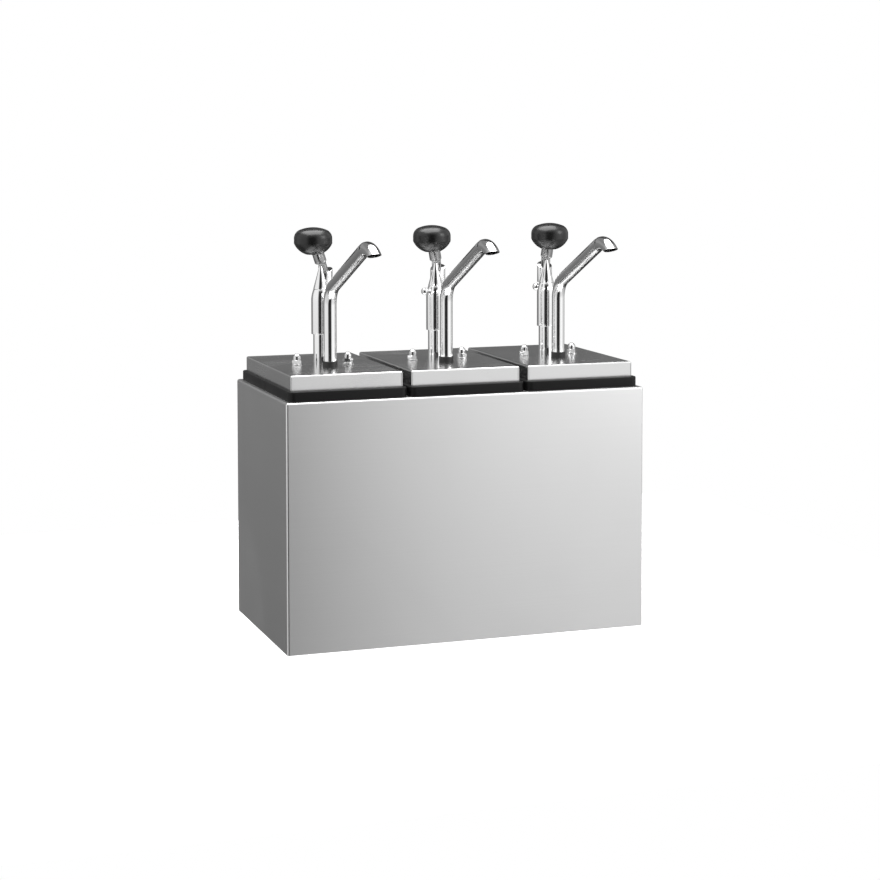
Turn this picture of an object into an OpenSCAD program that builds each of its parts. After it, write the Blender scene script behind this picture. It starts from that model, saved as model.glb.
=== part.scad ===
/* [Housing] */
// Outside width of the housing
housing_w = 400; // [370:1:460]
// Outside depth of the housing, front to back
housing_d = 214.5; // [195:0.5:240]
// Height of the housing's top lip above the table
housing_h = 262; // [240:1:300]
// Thickness of the folded steel sheet
sheet_t = 1.2; // [0.8:0.1:1.6]
// Outside radius of the housing's upright folds
housing_fold_r = 2.4; // [2:0.1:4]
// Width of the inward flange at the foot of the housing
foot_flange_w = 15; // [10:0.5:20]
// Thickness of the base plate
base_t = 1.5; // [1:0.1:2]
// Width of the two cross rails between the containers
rail_w = 12; // [10.5:0.1:13]
// Height of the cross rails
rail_h = 8; // [5:0.5:12]

/* [Containers] */
// How far the containers' rims stand in from the housing's outside faces
rim_inset = 4.5; // [3.5:0.1:5.5]
// Gap between the rims of two containers
rim_gap = 2.6; // [2:0.1:3.4]
// Height of a container's rim above the housing
rim_h = 10.5; // [8:0.5:14]
// How far the rim overhangs the container's body
rim_shelf = 6.3; // [5.8:0.1:7]
// Rounding of the rim's corners, seen from above
rim_corner_r = 7; // [4:0.5:10]
// Height of the container's foot above the housing's foot flange
container_stand = 21.3; // [10:0.1:35]
// Wall thickness of the container
container_wall = 2.5; // [2:0.1:3]
// Thickness of the container's floor
container_floor_t = 3; // [2:0.1:4]
// Height of the collar that locates the lid
collar_h = 7; // [4:0.5:9]

/* [Lids] */
// How far a lid's sides stand in from the rim's sides
lid_side_inset = 3.7; // [2.5:0.1:4.5]
// How far a lid's front and back stand in from the rim's ends
lid_end_inset = 8.3; // [6:0.1:11]
// Height of the folded lid
lid_h = 16; // [14:0.5:20]
// Thickness of the lid's sheet
lid_t = 1; // [0.8:0.1:1.2]
// Outside radius of the lid's folded edges
lid_fold_r = 1.8; // [1.4:0.1:3]

/* [Pumps] */
// How far the pumps stand behind the middle of the lids
pump_back = 3.5; // [-4:0.5:12]
// How far the spout's upright tube stands in front of the pump's axis
riser_front = 35; // [32:0.5:42]
// Distance of each cap nut from the pump's axis, to the side
stud_side = 28.5; // [26:0.5:34]
// How far the cap nuts stand in front of the pump's axis
stud_front = 5.2; // [0:0.1:8]
// Travel of the plunger when the knob is pressed
stroke = 26; // [15:1:26]
// Outside diameter of the fixed guide tube
guide_d = 17; // [15:0.5:17]
// Wall of the guide tube
guide_wall = 1.2; // [0.8:0.1:1.3]
// Bore of the pump barrel
barrel_bore = 30; // [28:0.5:34]
// Wall of the pump barrel
barrel_wall = 2; // [1:0.1:2.5]
// Diameter of the piston rod
rod_d = 8; // [6:0.5:9]

/* [Plunger head] */
// Outside diameter of the sleeve that slides over the guide tube
sleeve_d = 21; // [20.5:0.5:24]
// Height of the sleeve's lower rim above the lid
sleeve_low = 32; // [31:0.5:36]
// Height of the sleeve's rounded shoulder above the lid
shoulder_low = 68; // [64:0.5:71]
// Height of the split between sleeve and nose above the lid
nose_low = 80.5; // [79.5:0.1:82]
// Height of the nose's tip above the lid
nose_tip = 106.2; // [100:0.1:110]
// Radius of the nose at its foot
nose_r = 8.3; // [7.8:0.1:8.5]
// Radius of the nose's blunt tip
nose_tip_r = 1.5; // [1:0.1:2]
// Diameter of the upright socket behind the nose
socket_d = 16.5; // [14:0.5:18]
// How far the socket's axis lies behind the pump's axis
socket_back = 7; // [5:0.1:8]
// Height above the lid where the neck's axis leaves the socket's slanted top
socket_top = 99; // [95:0.5:102]
// How far the neck's axis starts behind the pump's axis
neck_foot_back = 5; // [3:0.1:7]
// Lean of the neck out of the upright
neck_lean = 25; // [15:1:28]
// Diameter of the neck's dark rod
neck_d = 10.4; // [8:0.2:11]
// Diameter of the ferrule under the knob
ferrule_d = 13; // [12:0.5:14]
// Length of the neck below the ferrule
neck_bare = 11.8; // [9:0.1:13]
// Length of the ferrule
ferrule_len = 14.2; // [13:0.1:17]
// How far behind the pump's axis the neck's rod is milled flat, which clears the nose's tip
rod_flat_back = 1.8; // [1.7:0.1:2.5]
// Which way each head faces, turned from the front to the left
head_turn = [56, 38, 5];
// Which way each ball pin points, turned from the front to the left
pin_turn = [190, 73, 151];

/* [Knob] */
// Largest diameter of the knob
knob_d = 41.2; // [34:0.1:46]
// Height of the knob's crown above its widest part
knob_up = 12; // [11.6:0.1:14]
// Depth of the knob's rounded underside below its widest part
knob_down = 17.3; // [14:0.1:18]
// Radius of the knob's rounded upper edge
knob_edge_r = 10; // [8:0.1:11]
// Radius of the knob's bowl-shaped underside
bowl_r = 21.1; // [20:0.1:24]
// How far the bowl's centre lies off the knob's axis
bowl_off = 1.2; // [0:0.1:2]
// How far the bowl's centre lies above the knob's widest part
bowl_high = 2.9; // [2:0.1:4]
// How far the knob's axis stands out from the pump's axis
knob_reach = 12.6; // [9:0.1:15]
// Height of the knob's widest part above the lid
knob_height = 136; // [133:0.5:140]

/* [Spout] */
// Outside diameter of the spout tube
spout_d = 14; // [12:0.5:14.5]
// Wall of the spout tube
spout_wall = 1; // [0.8:0.1:1.2]
// Height above the lid where riser and arm would cross
bend_height = 81.5; // [76:0.5:90]
// Radius of the lower bend, on the tube's centre line
bend_r = 24; // [20:1:30]
// Slope of the arm above the level
arm_slope = 24; // [15:1:35]
// Length of the arm from that crossing to the nozzle's bend
arm_len = 135; // [105:0.5:155]
// Radius of the nozzle's bend, on the centre line
nozzle_bend_r = 17; // [12:0.5:20]
// Slope of the nozzle's mouth below the level
nozzle_slope = 66; // [50:1:90]
// Straight length of the nozzle after its bend
nozzle_end = 0.5; // [0.5:0.1:10]
// Outside diameter of the nozzle
nozzle_d = 15.2; // [14.8:0.1:16]
// Length of arm that the nozzle grips
nozzle_grip = 6.5; // [5:0.5:16]
// Turn of each spout out of straight ahead, to the right
spout_turn = [2, 0, 0];
// Outside diameter of the gland bush round the riser
gland_d = 15.8; // [15.5:0.1:18]
// Height of the gland bush above the lid
gland_h = 7.8; // [5:0.2:10]

/* [Hidden] */
$fn = 64;
// Overrun of cuts, and the clearances used throughout
cut = 1;
run_gap = 0.05;
fit_gap = 0.03;
rest_gap = 0.3;

pumps = [1, 2, 3];
pump_nodes = [
    "container", "lid", "guide_tube", "gland_bush", "cap_nuts", "pump_barrel", "valve_body",
    "spout_tube", "spout_nozzle", "inlet_ball", "outlet_ball", "piston_rod", "piston_seal",
    "return_spring", "sleeve", "nose", "neck", "knob", "release_pin"
];

// Container and housing sizes that follow from the driving ones
pitch = (housing_w - 2 * rim_inset + rim_gap) / len(pumps);
rim_w = pitch - rim_gap;
rim_d = housing_d - 2 * rim_inset;
hang_gap = 1.3;
lip_w = rim_inset + rim_shelf - hang_gap;
body_w = rim_w - 2 * rim_shelf;
body_d = rim_d - 2 * rim_shelf;
body_corner_r = 12;
container_low = base_t + sheet_t + container_stand;
container_floor = container_low + container_floor_t;
rim_top = housing_h + rim_h;
collar_corner_r = 4;

// Lid sizes; the collar inside the lid leaves lid_gap all round
lid_w = rim_w - 2 * lid_side_inset;
lid_d = rim_d - 2 * lid_end_inset;
lid_top = rim_top + lid_h;
lid_under = lid_top - lid_t;
lid_gap = 0.7;
collar_w = lid_w - 2 * (lid_t + lid_gap);
collar_d = lid_d - 2 * (lid_t + lid_gap);
guide_hole_gap = 0.15;
seam_w = 0.35;

// Mounting plate under the lid, with its two studs
plate_t = 2.5;
plate_under = lid_under - plate_t;
plate_edge = 9;
plate_back = 22;
stud_d = 6;
stud_hole_d = 6.6;
stud_rise = 9.5;

// Cap nut and washer of the stud
nut_flats = 10;
nut_hex_h = 7;
nut_dome_r = 4.8;
nut_bore_depth = 9;
washer_d = 12.4;
washer_t = 1.4;
nut_top = 12;

// Guide tube and its plug, which also guides the rod and carries the spring
plug_t = 4;
plug_under = plate_under - plug_t;
web_low = shoulder_low;
web_t = 4.5;
guide_clear = 1.2;
guide_high = web_low - stroke - guide_clear;

// Valve body at the foot of the barrel
foot_clear = 8;
valve_low = container_floor + foot_clear;
valve_h = 26;
valve_top = valve_low + valve_h;
valve_d = 40;
riser_boss_d = 22;
riser_boss_h = 32;
bridge_w = 16;
bridge_h = 18;
ball_d = 10;
seat_d = 7;
cavity_d = 12;
inlet_seat = 4;
outlet_seat = 11;
passage_d = 7;
passage_h = 8;
ball_lift = 3;
stop_d = 2;
riser_seat = 25.5;
ball_rest = sqrt(pow(ball_d / 2, 2) - pow(seat_d / 2, 2)) + run_gap;

// Piston, seal and rod
piston_gap = 4;
piston_h = 14;
piston_d = barrel_bore - 0.8;
seal_h = 4;
seal_up = 5;
seal_d = barrel_bore - 2 * run_gap;
seal_bore = barrel_bore - 6;
piston_low = valve_top + piston_gap + stroke;

// Return spring
wire_d = 1.4;
spring_mean_d = guide_d - 2 * guide_wall - 2 * rest_gap - wire_d - 0.2;
spring_turns = 12;
ring_sides = 6;
rings_per_turn = 8;
spring_low = plate_under + rest_gap;
spring_high = lid_top + web_low - rest_gap;

// Swivel spigot of the nose, held in the sleeve by the ball pin
spigot_d = 13;
spigot_len = nose_low - web_low - web_t;
swivel_gap = 0.2;
groove_depth = 1.6;
pin_d = 3;
pin_height = 75;
pin_tip_gap = 0.3;
ball_head_d = 8.1;
ball_head_out = 14.8;
shoulder_r = 34;

// Neck fittings
neck_stud_d = 6;
neck_stud_len = 8;
knob_stud_d = 8;
knob_stud_len = 9;
knob_edge_in = knob_d / 2 - knob_edge_r;
// The crown's shallow dome runs smoothly into the rounded edge
crown_r = (pow(knob_edge_in, 2) + pow(knob_up, 2) - pow(knob_edge_r, 2)) / (2 * (knob_up - knob_edge_r));
crown_meets = crown_r * knob_edge_in / (crown_r - knob_edge_r);
ferrule_edge = 0.6;

// Bend and nozzle of the spout
bend_turn = 90 - arm_slope;
bend_start = bend_r * tan(bend_turn / 2);
spout_bore_d = spout_d - 2 * spout_wall;
nozzle_bore_d = nozzle_d - 2.4;
riser_low = valve_low + riser_seat;
gland_flange_t = 1.2;

function pump_x(n) = (n - 2) * pitch;

// Rounded rectangle from two squares and four circles
module rounded_rect(w, d, r) {
    square([w - 2 * r, d], center = true);
    square([w, d - 2 * r], center = true);
    for (x = [-1, 1], y = [-1, 1])
        translate([x * (w / 2 - r), y * (d / 2 - r)]) circle(r);
}

module rounded_block(w, d, r, low, high) {
    translate([0, 0, low]) linear_extrude(high - low) rounded_rect(w, d, r);
}

// Box whose top edges are rounded as a brake fold is
module folded_block(w, d, r, low, high) {
    intersection() {
        translate([0, d / 2, 0]) rotate([90, 0, 0]) linear_extrude(d) fold_outline(w, r, low, high);
        translate([-w / 2, 0, 0]) rotate([90, 0, 90]) linear_extrude(w) fold_outline(d, r, low, high);
    }
}

module fold_outline(w, r, low, high) {
    translate([-w / 2, low]) square([w, high - low - r]);
    translate([r - w / 2, low]) square([w - 2 * r, high - low]);
    for (x = [-1, 1])
        translate([x * (w / 2 - r), high - r]) circle(r);
}

module at_pump(n) {
    translate([pump_x(n), pump_back, 0]) children();
}

// The head's own frame turns with the head; its front is the way it leans
module at_head(n) {
    at_pump(n) rotate([0, 0, -head_turn[n - 1]]) children();
}

module on_neck() {
    translate([0, neck_foot_back, lid_top + socket_top]) rotate([neck_lean, 0, 0]) children();
}

module at_riser(n) {
    at_pump(n) translate([0, -riser_front, 0]) rotate([0, 0, spout_turn[n - 1]]) children();
}

module housing() {
    inner_r = housing_fold_r - sheet_t;
    color("silver")
    difference() {
        intersection() {
            rounded_block(housing_w, housing_d, housing_fold_r, 0, housing_h);
            folded_block(housing_w, housing_d, housing_fold_r, 0, housing_h);
        }
        intersection() {
            rounded_block(housing_w - 2 * sheet_t, housing_d - 2 * sheet_t, inner_r,
                base_t + sheet_t, housing_h - sheet_t);
            folded_block(housing_w - 2 * sheet_t, housing_d - 2 * sheet_t, inner_r,
                base_t + sheet_t, housing_h - sheet_t);
        }
        rounded_block(housing_w - 2 * sheet_t, housing_d - 2 * sheet_t, inner_r, -cut, base_t);
        rounded_block(housing_w - 2 * lip_w, housing_d - 2 * lip_w, inner_r,
            housing_h - sheet_t - cut, housing_h + cut);
        rounded_block(housing_w - 2 * foot_flange_w, housing_d - 2 * foot_flange_w, inner_r,
            base_t - cut, base_t + sheet_t + cut);
    }
}

module base_plate() {
    edge = sheet_t + fit_gap;
    color("gray")
    rounded_block(housing_w - 2 * edge, housing_d - 2 * edge, housing_fold_r - sheet_t, 0, base_t);
}

// Flat bars let in under the front and back lips, flush with them on top
module cross_rails() {
    color("gray")
    for (x = [-1, 1]) {
        translate([x * pitch / 2 - rail_w / 2, lip_w - housing_d / 2, housing_h - rail_h])
            cube([rail_w, housing_d - 2 * lip_w, rail_h]);
        translate([x * pitch / 2 - rail_w / 2, housing_fold_r - housing_d / 2, housing_h - rail_h])
            cube([rail_w, housing_d - 2 * housing_fold_r, rail_h - sheet_t]);
    }
}

module container(n) {
    wall = container_wall;
    color([0.07, 0.07, 0.07])
    translate([pump_x(n), 0, 0])
    difference() {
        union() {
            rounded_block(body_w, body_d, body_corner_r, container_low, rim_top);
            difference() {
                rounded_block(rim_w, rim_d, rim_corner_r, housing_h, rim_top);
                rounded_block(rim_w - 2 * wall, rim_d - 2 * wall, rim_corner_r - wall,
                    housing_h - cut, rim_top - wall);
            }
            rounded_block(collar_w, collar_d, collar_corner_r, rim_top - wall, rim_top + collar_h);
        }
        rounded_block(body_w - 2 * wall, body_d - 2 * wall, body_corner_r - wall,
            container_floor, rim_top - wall);
        rounded_block(collar_w - 2 * wall, collar_d - 2 * wall, collar_corner_r - wall,
            container_floor + cut, rim_top + collar_h + cut);
    }
}

module lid(n) {
    color("silver")
    difference() {
        translate([pump_x(n), 0, 0]) difference() {
            folded_block(lid_w, lid_d, lid_fold_r, rim_top, lid_top);
            folded_block(lid_w - 2 * lid_t, lid_d - 2 * lid_t, lid_fold_r - lid_t,
                rim_top - cut, lid_under);
            // Open seams where the folded sides meet
            for (x = [-1, 1], y = [-1, 1])
                translate([x * (lid_w / 2 - lid_t - seam_w / 2), y * (lid_d / 2 - lid_t / 2), 0])
                    translate([-seam_w / 2, -lid_t, rim_top - cut])
                        cube([seam_w, 2 * lid_t, lid_h - lid_fold_r + cut]);
        }
        at_pump(n) {
            translate([0, 0, lid_under - cut]) cylinder(d = guide_d + 2 * guide_hole_gap, h = lid_t + 2 * cut);
            translate([0, -riser_front, lid_under - cut]) cylinder(d = spout_d + 2 * gland_flange_t, h = lid_t + 2 * cut);
            for (x = [-1, 1])
                translate([x * stud_side, -stud_front, lid_under - cut]) cylinder(d = stud_hole_d, h = lid_t + 2 * cut);
        }
    }
}

module guide_tube(n) {
    bore = guide_d - 2 * guide_wall;
    color("gainsboro")
    at_pump(n) translate([0, 0, plug_under])
    difference() {
        union() {
            cylinder(d = barrel_bore - 2 * fit_gap, h = plug_t);
            cylinder(d = guide_d, h = lid_top + guide_high - plug_under);
        }
        translate([0, 0, plug_t]) cylinder(d = bore, h = lid_top + guide_high);
        translate([0, 0, -cut]) cylinder(d = rod_d + 2 * run_gap, h = plug_t + 2 * cut);
    }
}

module gland_bush(n) {
    color([0.03, 0.03, 0.03])
    at_pump(n) translate([0, -riser_front, 0])
    difference() {
        union() {
            translate([0, 0, lid_top]) cylinder(d = gland_d, h = gland_h);
            translate([0, 0, plate_under])
                cylinder(d = spout_d + 2 * (gland_flange_t - fit_gap), h = lid_top - plate_under);
        }
        translate([0, 0, plate_under - cut])
            cylinder(d = spout_d + 2 * fit_gap, h = lid_top + gland_h - plate_under + 2 * cut);
    }
}

module cap_nut() {
    difference() {
        union() {
            cylinder(d = washer_d, h = washer_t);
            translate([0, 0, washer_t]) cylinder(d = nut_flats / cos(180 / 6), h = nut_hex_h, $fn = 6);
            translate([0, 0, washer_t]) cylinder(r = nut_dome_r, h = nut_top - nut_dome_r);
            translate([0, 0, washer_t + nut_top - nut_dome_r]) sphere(nut_dome_r);
        }
        translate([0, 0, -cut]) cylinder(d = stud_d, h = nut_bore_depth + washer_t + cut);
    }
}

module cap_nuts(n) {
    color("gainsboro")
    at_pump(n)
    for (x = [-1, 1])
        translate([x * stud_side, -stud_front, lid_top]) cap_nut();
}

// Barrel welded under its mounting plate, which carries the two studs
module pump_barrel(n) {
    width = 2 * (stud_side + plate_edge);
    front = riser_front + gland_d / 2 + gland_flange_t;
    color("lightgray")
    at_pump(n)
    difference() {
        union() {
            translate([-width / 2, -front, plate_under]) cube([width, front + plate_back, plate_t]);
            translate([0, 0, valve_top])
                cylinder(d = barrel_bore + 2 * barrel_wall, h = plate_under - valve_top);
            for (x = [-1, 1])
                translate([x * stud_side, -stud_front, plate_under])
                    cylinder(d = stud_d - 2 * fit_gap, h = plate_t + lid_t + stud_rise);
        }
        translate([0, 0, valve_top - cut]) cylinder(d = barrel_bore, h = plate_under - valve_top + cut);
        translate([0, 0, plate_under - cut]) cylinder(d = guide_d + 2 * fit_gap, h = plate_t + 2 * cut);
        translate([0, -riser_front, plate_under - cut])
            cylinder(d = spout_d + 2 * gland_flange_t, h = plate_t + 2 * cut);
    }
}

// Foot block with the inlet seat under the barrel and the outlet seat under the riser
module valve_body(n) {
    inlet_stop = inlet_seat + ball_rest + ball_d / 2 + ball_lift + stop_d / 2 + run_gap;
    outlet_stop = outlet_seat + ball_rest + ball_d / 2 + ball_lift + stop_d / 2 + run_gap;
    color("lightgray")
    at_pump(n) translate([0, 0, valve_low]) {
        difference() {
            union() {
                cylinder(d = valve_d, h = valve_h);
                translate([0, -riser_front, 0]) cylinder(d = riser_boss_d, h = riser_boss_h);
                translate([-bridge_w / 2, -riser_front, 0]) cube([bridge_w, riser_front, bridge_h]);
            }
            translate([0, 0, -cut]) cylinder(d = seat_d, h = inlet_seat + 2 * cut);
            translate([0, 0, inlet_seat]) cylinder(d = cavity_d, h = valve_h);
            translate([0, 0, passage_h]) rotate([90, 0, 0]) cylinder(d = passage_d, h = riser_front);
            translate([0, -riser_front, passage_h]) cylinder(d = seat_d, h = outlet_seat);
            translate([0, -riser_front, outlet_seat]) cylinder(d = cavity_d, h = riser_boss_h);
            translate([0, -riser_front, riser_seat])
                cylinder(d = spout_d + 2 * fit_gap, h = riser_boss_h);
        }
        stop_bar(0, inlet_stop);
        stop_bar(-riser_front, outlet_stop);
    }
}

// Cross bar that keeps a valve ball in its cage
module stop_bar(y, height) {
    translate([-cavity_d / 2 - cut, y, height]) rotate([0, 90, 0]) cylinder(d = stop_d, h = cavity_d + 2 * cut);
}

module inlet_ball(n) {
    color("white")
    at_pump(n) translate([0, 0, valve_low + inlet_seat + ball_rest]) sphere(d = ball_d);
}

module outlet_ball(n) {
    color("white")
    at_pump(n) translate([0, -riser_front, valve_low + outlet_seat + ball_rest]) sphere(d = ball_d);
}

module piston_rod(n) {
    color("gainsboro")
    at_pump(n) translate([0, 0, piston_low])
    difference() {
        union() {
            cylinder(d = piston_d, h = piston_h);
            cylinder(d = rod_d, h = lid_top + web_low + web_t - piston_low);
        }
        translate([0, 0, seal_up]) difference() {
            cylinder(d = barrel_bore, h = seal_h);
            translate([0, 0, -cut]) cylinder(d = seal_bore - 2 * fit_gap, h = seal_h + 2 * cut);
        }
    }
}

module piston_seal(n) {
    color([0.1, 0.1, 0.1])
    at_pump(n) translate([0, 0, piston_low + seal_up])
    difference() {
        cylinder(d = seal_d, h = seal_h);
        translate([0, 0, -cut]) cylinder(d = seal_bore, h = seal_h + 2 * cut);
    }
}

// Helical compression spring, one unbroken wire of six-sided rings
spring_rings = spring_turns * rings_per_turn;
spring_rise = spring_high - spring_low - wire_d;
function spring_ring(i) = let (
    turn = 360 * i / rings_per_turn,
    height = spring_low + wire_d / 2 + spring_rise * i / spring_rings
) [
    for (s = [0 : ring_sides - 1])
        let (out = spring_mean_d / 2 + wire_d / 2 * cos(360 * s / ring_sides))
            [out * cos(turn), out * sin(turn), height + wire_d / 2 * sin(360 * s / ring_sides)]
];
spring_least_gap = min([
    for (a = spring_ring(0), b = spring_ring(rings_per_turn)) norm(a - b)
]);

module return_spring(n) {
    sides = ring_sides;
    echo(spring_least_gap = spring_least_gap);
    color("dimgray")
    at_pump(n)
    polyhedron(
        points = [for (i = [0 : spring_rings]) each spring_ring(i)],
        faces = concat(
            [[for (s = [0 : sides - 1]) s]],
            [[for (s = [sides - 1 : -1 : 0]) spring_rings * sides + s]],
            [for (i = [0 : spring_rings - 1], s = [0 : sides - 1])
                let (a = i * sides + s, b = i * sides + (s + 1) % sides)
                    each [[a, a + sides, b + sides], [a, b + sides, b]]]
        )
    );
}

// Sleeve with its rounded shoulder, an inner web for the rod and a bore for the nose's spigot
module sleeve(n) {
    low = lid_top + sleeve_low;
    color("gainsboro")
    at_pump(n)
    difference() {
        union() {
            translate([0, 0, low]) cylinder(d = sleeve_d, h = shoulder_low - sleeve_low);
            translate([0, 0, lid_top + shoulder_low]) rotate_extrude() intersection() {
                square([sleeve_d / 2, nose_low - shoulder_low]);
                translate([sleeve_d / 2 - shoulder_r, 0]) circle(shoulder_r, $fn = 128);
            }
        }
        translate([0, 0, low - cut]) cylinder(d = guide_d + 2 * run_gap, h = web_low - sleeve_low + cut);
        translate([0, 0, lid_top]) cylinder(d = rod_d + 2 * fit_gap, h = nose_low);
        translate([0, 0, lid_top + web_low + web_t]) cylinder(d = spigot_d + 2 * run_gap, h = nose_low);
        translate([0, 0, lid_top + pin_height]) rotate([0, 0, -pin_turn[n - 1]]) rotate([90, 0, 0])
            cylinder(d = pin_d + 2 * run_gap, h = sleeve_d);
    }
}

// Pointed nose with the upright socket behind it and the swivel spigot below
module nose(n) {
    low = lid_top + nose_low + swivel_gap;
    spigot_low = lid_top + web_low + web_t + swivel_gap;
    color("gainsboro")
    at_head(n)
    difference() {
        union() {
            translate([0, 0, low])
                cylinder(r1 = nose_r, r2 = nose_tip_r, h = nose_tip - nose_low - swivel_gap - nose_tip_r);
            translate([0, 0, lid_top + nose_tip - nose_tip_r]) sphere(nose_tip_r);
            translate([0, 0, spigot_low]) cylinder(d = spigot_d, h = low - spigot_low + cut);
            difference() {
                translate([0, socket_back, low]) cylinder(d = socket_d, h = socket_top - nose_low + socket_d);
                on_neck() translate([-socket_d, -socket_d, 0]) cube([2 * socket_d, 2 * socket_d, 2 * socket_d]);
            }
        }
        intersection() {
            on_neck() cylinder(d = neck_d + 2 * fit_gap, h = neck_bare);
            behind_flat(rod_flat_back - fit_gap);
        }
        on_neck() translate([0, 0, -neck_stud_len]) cylinder(d = neck_stud_d + 2 * fit_gap, h = neck_stud_len + cut);
        on_neck() translate([0, 0, neck_bare - fit_gap]) cylinder(d = ferrule_d, h = ferrule_len);
        // Groove that the pin's tip rides in
        translate([0, 0, lid_top + pin_height - pin_d / 2 - run_gap]) difference() {
            cylinder(d = spigot_d + cut, h = pin_d + 2 * run_gap);
            translate([0, 0, -cut]) cylinder(d = spigot_d - 2 * groove_depth, h = pin_d + 2 * cut + 2 * run_gap);
        }
    }
}

// Everything behind an upright plane across the head's front
module behind_flat(back) {
    translate([-socket_d, back, lid_top + nose_low]) cube([2 * socket_d, 2 * socket_d, neck_bare + 2 * socket_d]);
}

module neck(n) {
    color([0.35, 0.35, 0.35])
    at_head(n) {
        intersection() {
            on_neck() cylinder(d = neck_d, h = neck_bare + cut);
            behind_flat(rod_flat_back);
        }
        on_neck() {
            translate([0, 0, -neck_stud_len]) cylinder(d = neck_stud_d, h = neck_stud_len + cut);
            translate([0, 0, neck_bare]) cylinder(d1 = ferrule_d - 2 * ferrule_edge, d2 = ferrule_d, h = ferrule_edge);
            translate([0, 0, neck_bare + ferrule_edge]) cylinder(d = ferrule_d, h = ferrule_len - ferrule_edge);
            translate([0, 0, neck_bare + ferrule_len]) cylinder(d = knob_stud_d, h = knob_stud_len);
        }
    }
}

// Half of the knob's turned profile: the shape seen from above, cut to the bowl below
module knob_profile() {
    intersection() {
        union() {
            translate([knob_edge_in, 0]) circle(knob_edge_r);
            translate([0, -knob_down]) square([knob_d / 2, knob_down]);
            intersection() {
                translate([0, knob_up - crown_r]) circle(crown_r, $fn = 128);
                square([crown_meets, knob_up]);
            }
        }
        union() {
            translate([bowl_off, bowl_high]) circle(bowl_r, $fn = 128);
            square([knob_d / 2, knob_up]);
        }
        translate([0, -knob_down]) square([knob_d, knob_d]);
    }
}

// It sits level on the leaning neck, which its slanted bore takes in
module knob(n) {
    color([0.05, 0.05, 0.05])
    at_head(n) difference() {
        translate([0, -knob_reach, lid_top + knob_height]) rotate_extrude() knob_profile();
        on_neck() translate([0, 0, neck_bare]) {
            cylinder(d = ferrule_d + 2 * fit_gap, h = ferrule_len);
            cylinder(d = knob_stud_d + 2 * fit_gap, h = ferrule_len + knob_stud_len + cut);
        }
    }
}

module release_pin(n) {
    tip = spigot_d / 2 - groove_depth + pin_tip_gap;
    color("gainsboro")
    at_pump(n) translate([0, 0, lid_top + pin_height]) rotate([0, 0, -pin_turn[n - 1]]) {
        translate([0, -tip, 0]) rotate([90, 0, 0]) cylinder(d = pin_d, h = ball_head_out - tip);
        translate([0, -ball_head_out, 0]) sphere(d = ball_head_d);
    }
}

// The spout's centre line starts at the riser's foot; the same steps draw its outside and its bore
module spout_lower(d, low, over) {
    level = lid_top + bend_height - bend_start;
    translate([0, 0, low]) cylinder(d = d, h = level - low);
    translate([0, -bend_r, level]) rotate([90, 0, 90])
        rotate_extrude(angle = bend_turn) translate([bend_r, 0]) circle(d = d);
    translate([0, 0, lid_top + bend_height]) rotate([90 - arm_slope, 0, 0])
        translate([0, 0, bend_start]) cylinder(d = d, h = arm_len - bend_start + over);
}

module spout_tube(n) {
    short = nozzle_bend_gap;
    color("gainsboro")
    at_riser(n)
    difference() {
        spout_lower(spout_d, riser_low, -short);
        spout_lower(spout_bore_d, riser_low - cut, cut - short);
    }
}

// The arm stops this far short of the nozzle's bend
nozzle_bend_gap = 2;

// Frame at the end of the arm: the arm comes in along +Z, the mouth turns down from there
module at_arm_end() {
    translate([0, 0, lid_top + bend_height]) rotate([90 - arm_slope, 0, 0])
        translate([0, 0, arm_len]) children();
}

module nozzle_bend(d, over) {
    turn = arm_slope + nozzle_slope;
    translate([0, -nozzle_bend_r, 0]) rotate([90, 0, 90]) {
        rotate_extrude(angle = turn) translate([nozzle_bend_r, 0]) circle(d = d);
        rotate([0, 0, turn]) translate([nozzle_bend_r, 0, 0]) rotate([-90, 0, 0]) cylinder(d = d, h = nozzle_end + over);
    }
}

module spout_nozzle(n) {
    color("white")
    at_riser(n) at_arm_end()
    difference() {
        union() {
            nozzle_bend(nozzle_d, 0);
            translate([0, 0, -nozzle_grip]) cylinder(d = nozzle_d, h = nozzle_grip);
        }
        nozzle_bend(nozzle_bore_d, cut);
        translate([0, 0, -nozzle_bend_gap]) cylinder(d = nozzle_bore_d, h = nozzle_bend_gap);
        translate([0, 0, -nozzle_grip - cut]) cylinder(d = spout_d + 2 * fit_gap, h = nozzle_grip + cut - nozzle_bend_gap);
    }
}

housing();
base_plate();
cross_rails();
for (n = pumps) {
    container(n);
    lid(n);
    guide_tube(n);
    gland_bush(n);
    cap_nuts(n);
    pump_barrel(n);
    valve_body(n);
    spout_tube(n);
    spout_nozzle(n);
    inlet_ball(n);
    outlet_ball(n);
    piston_rod(n);
    piston_seal(n);
    return_spring(n);
    sleeve(n);
    nose(n);
    neck(n);
    knob(n);
    release_pin(n);
}
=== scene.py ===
import math

import bmesh
import bpy
from mathutils import Matrix, Vector


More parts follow.
